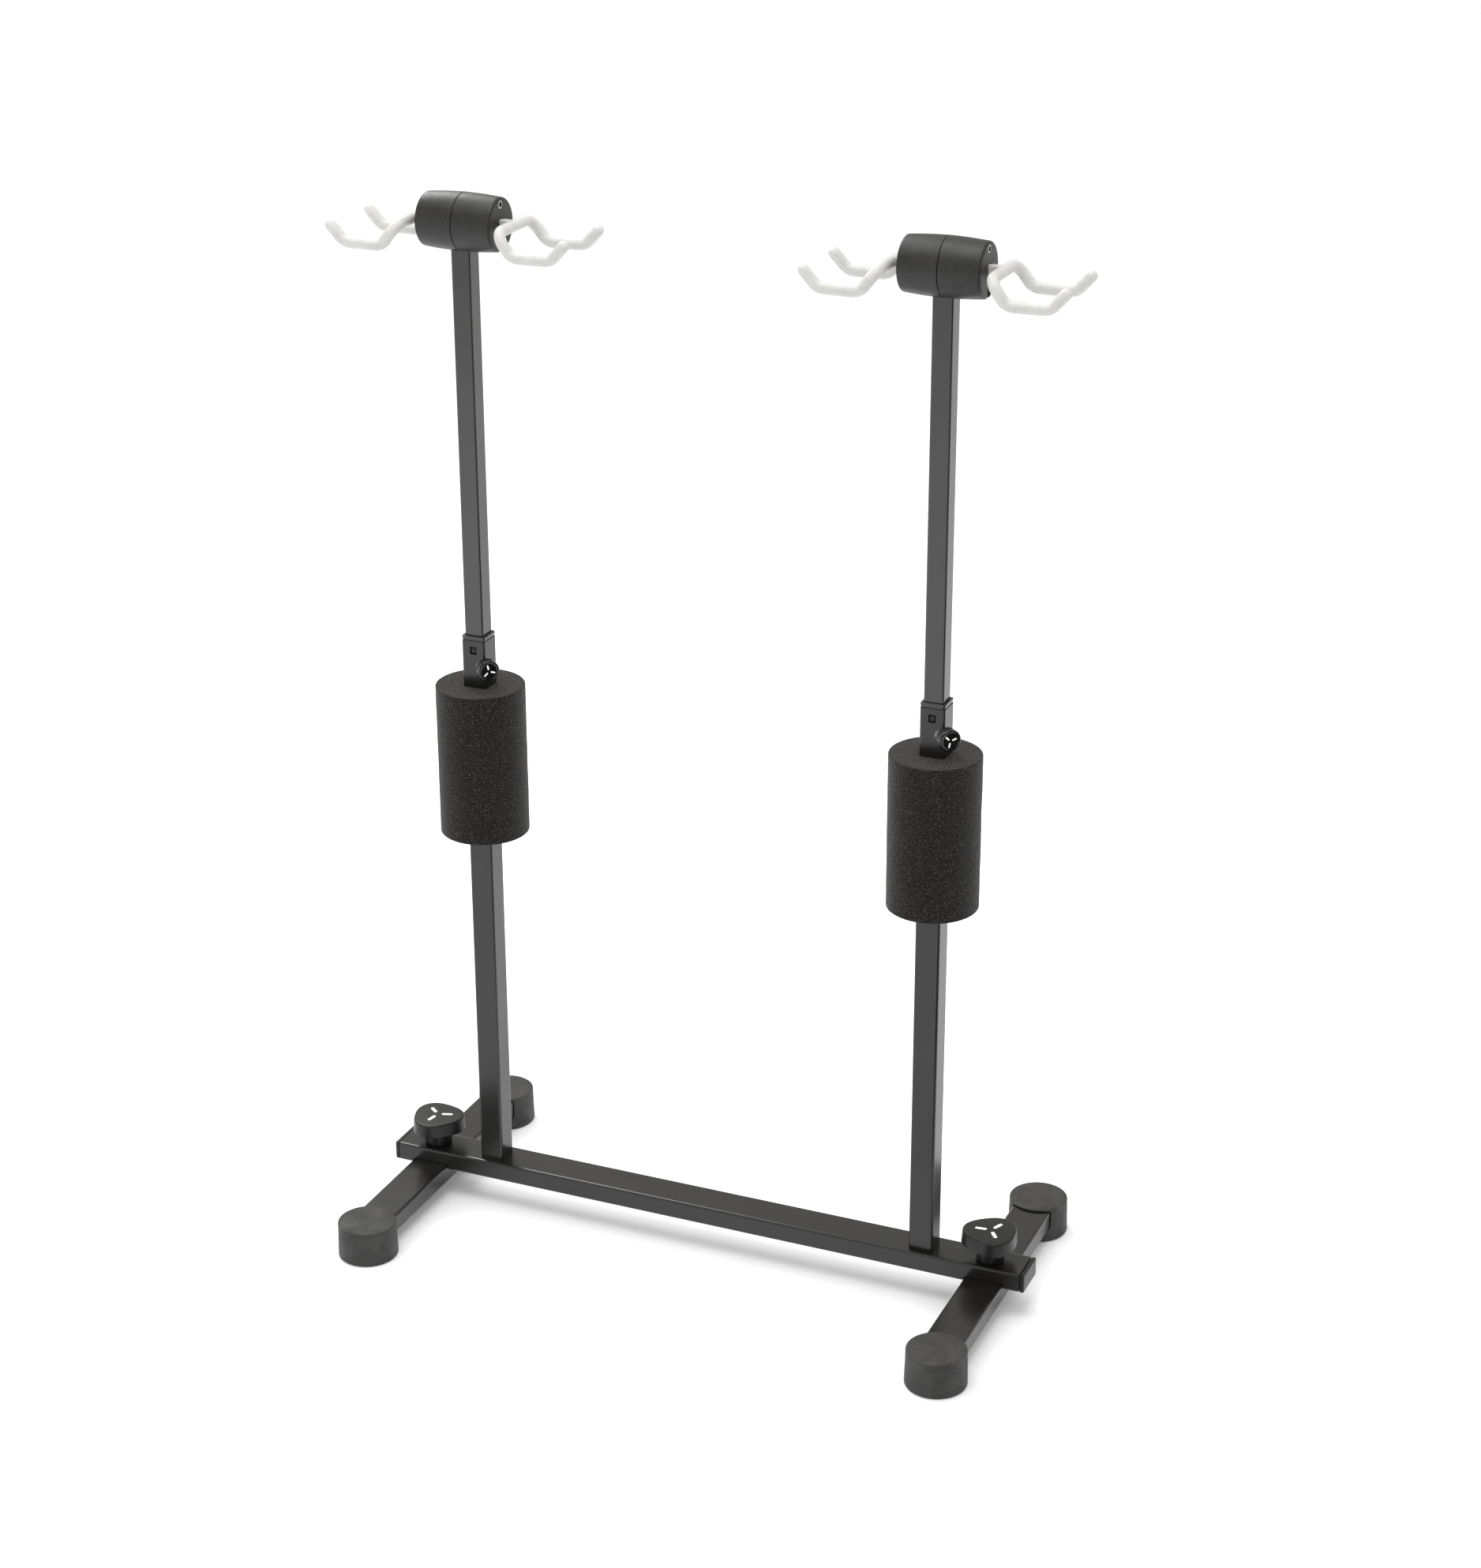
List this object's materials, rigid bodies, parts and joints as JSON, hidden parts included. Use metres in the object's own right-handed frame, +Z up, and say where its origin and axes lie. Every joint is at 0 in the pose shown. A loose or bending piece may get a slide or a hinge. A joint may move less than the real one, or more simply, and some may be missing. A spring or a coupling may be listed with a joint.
{
  "type": "guitar rack",
  "caption": "Floor rack that hangs guitars by the neck: telescopic posts with foam rolls on a crossbeam, clamped legs with rubber feet, and folding padded neck forks.",
  "frame": {"origin": "on the floor, at the centre of the rack's footprint", "axes": "+X along the crossbeam to the right post, +Y to the back, +Z up"},
  "size_m": [0.734, 0.3754, 1.071],
  "materials": {
    "powder_coated_steel": "satin black powder coat",
    "inner_tube_black": "satin black powder coat",
    "black_plastic": "fine moulded texture",
    "head_plastic": "fine moulded texture",
    "foot_rubber": "matt moulded rubber",
    "foam": "open-cell foam, matt",
    "zinc_steel": "zinc plated",
    "milky_plastic": "milky, slightly translucent"
  },
  "bodies": {
    "frame": {"crossbeam_tube": "powder_coated_steel", "beam_end_cap_left": "black_plastic", "post_outer_tube_left": "powder_coated_steel", "post_bush_left": "black_plastic", "foam_roll_left": "foam", "thumb_screw_boss_left": "zinc_steel", "beam_end_cap_right": "black_plastic", "post_outer_tube_right": "powder_coated_steel", "post_bush_right": "black_plastic", "foam_roll_right": "foam", "thumb_screw_boss_right": "zinc_steel"},
    "leg_left": {"leg_tube_left": "powder_coated_steel", "leg_insert_nut_left": "zinc_steel", "foot_front_left": "foot_rubber", "foot_rear_left": "foot_rubber"},
    "leg_knob_left": {"leg_clamp_knob_left": "black_plastic", "leg_clamp_bolt_left": "zinc_steel"},
    "thumb_screw_left": {"thumb_screw_knob_left": "black_plastic", "thumb_screw_stud_left": "zinc_steel"},
    "head_left": {"post_inner_tube_left": "inner_tube_black", "tube_glide_left": "black_plastic", "head_bracket_left": "zinc_steel", "head_tie_screw_left": "zinc_steel", "head_tie_nut_left": "zinc_steel", "head_shell_inner_left": "head_plastic", "fork_pin_inner_left": "zinc_steel", "head_shell_outer_left": "head_plastic", "fork_pin_outer_left": "zinc_steel"},
    "fork_inner_left": {"fork_wire_inner_left": "zinc_steel", "fork_sleeve_inner_left": "milky_plastic"},
    "fork_outer_left": {"fork_wire_outer_left": "zinc_steel", "fork_sleeve_outer_left": "milky_plastic"},
    "leg_right": {"leg_tube_right": "powder_coated_steel", "leg_insert_nut_right": "zinc_steel", "foot_front_right": "foot_rubber", "foot_rear_right": "foot_rubber"},
    "leg_knob_right": {"leg_clamp_knob_right": "black_plastic", "leg_clamp_bolt_right": "zinc_steel"},
    "thumb_screw_right": {"thumb_screw_knob_right": "black_plastic", "thumb_screw_stud_right": "zinc_steel"},
    "head_right": {"post_inner_tube_right": "inner_tube_black", "tube_glide_right": "black_plastic", "head_bracket_right": "zinc_steel", "head_tie_screw_right": "zinc_steel", "head_tie_nut_right": "zinc_steel", "head_shell_inner_right": "head_plastic", "fork_pin_inner_right": "zinc_steel", "head_shell_outer_right": "head_plastic", "fork_pin_outer_right": "zinc_steel"},
    "fork_inner_right": {"fork_wire_inner_right": "zinc_steel", "fork_sleeve_inner_right": "milky_plastic"},
    "fork_outer_right": {"fork_wire_outer_right": "zinc_steel", "fork_sleeve_outer_right": "milky_plastic"}
  },
  "joints": [
    {"name": "leg_drop_left", "type": "slide", "parent": "frame", "child": "leg_left", "axis": [0, 0, 1], "range_m": [-0.0055, 0]},
    {"name": "leg_knob_turn_left", "type": "hinge", "parent": "frame", "child": "leg_knob_left", "pos_m": [-0.3096, 0, 0.05], "axis": [0, 0, 1], "range_deg": [0, 1584]},
    {"name": "thumb_screw_turn_left", "type": "hinge", "parent": "frame", "child": "thumb_screw_left", "pos_m": [-0.2258, -0.0142, 0.604], "axis": [0.7071, -0.7071, 0], "range_deg": [0, 720]},
    {"name": "height_slide_left", "type": "slide", "parent": "frame", "child": "head_left", "axis": [0, 0, 1], "range_m": [-0.345, 0.04]},
    {"name": "fork_fold_inner_left", "type": "hinge", "parent": "head_left", "child": "fork_inner_left", "pos_m": [-0.21, 0, 1.0313], "axis": [0, 1, 0], "range_deg": [0, 90]},
    {"name": "fork_fold_outer_left", "type": "hinge", "parent": "head_left", "child": "fork_outer_left", "pos_m": [-0.27, 0, 1.0313], "axis": [0, -1, 0], "range_deg": [0, 90]},
    {"name": "leg_drop_right", "type": "slide", "parent": "frame", "child": "leg_right", "axis": [0, 0, 1], "range_m": [-0.0055, 0]},
    {"name": "leg_knob_turn_right", "type": "hinge", "parent": "frame", "child": "leg_knob_right", "pos_m": [0.3096, 0, 0.05], "axis": [0, 0, 1], "range_deg": [0, 1584]},
    {"name": "thumb_screw_turn_right", "type": "hinge", "parent": "frame", "child": "thumb_screw_right", "pos_m": [0.2542, -0.0142, 0.604], "axis": [0.7071, -0.7071, 0], "range_deg": [0, 720]},
    {"name": "height_slide_right", "type": "slide", "parent": "frame", "child": "head_right", "axis": [0, 0, 1], "range_m": [-0.345, 0.04]},
    {"name": "fork_fold_inner_right", "type": "hinge", "parent": "head_right", "child": "fork_inner_right", "pos_m": [0.21, 0, 1.0313], "axis": [0, -1, 0], "range_deg": [0, 90]},
    {"name": "fork_fold_outer_right", "type": "hinge", "parent": "head_right", "child": "fork_outer_right", "pos_m": [0.27, 0, 1.0313], "axis": [0, 1, 0], "range_deg": [0, 90]}
  ],
  "couplings": [
    {"joint": "leg_knob_turn_left", "follows": "leg_drop_left", "rad_per_m": -5026.5},
    {"joint": "leg_knob_turn_right", "follows": "leg_drop_right", "rad_per_m": -5026.5}
  ]
}
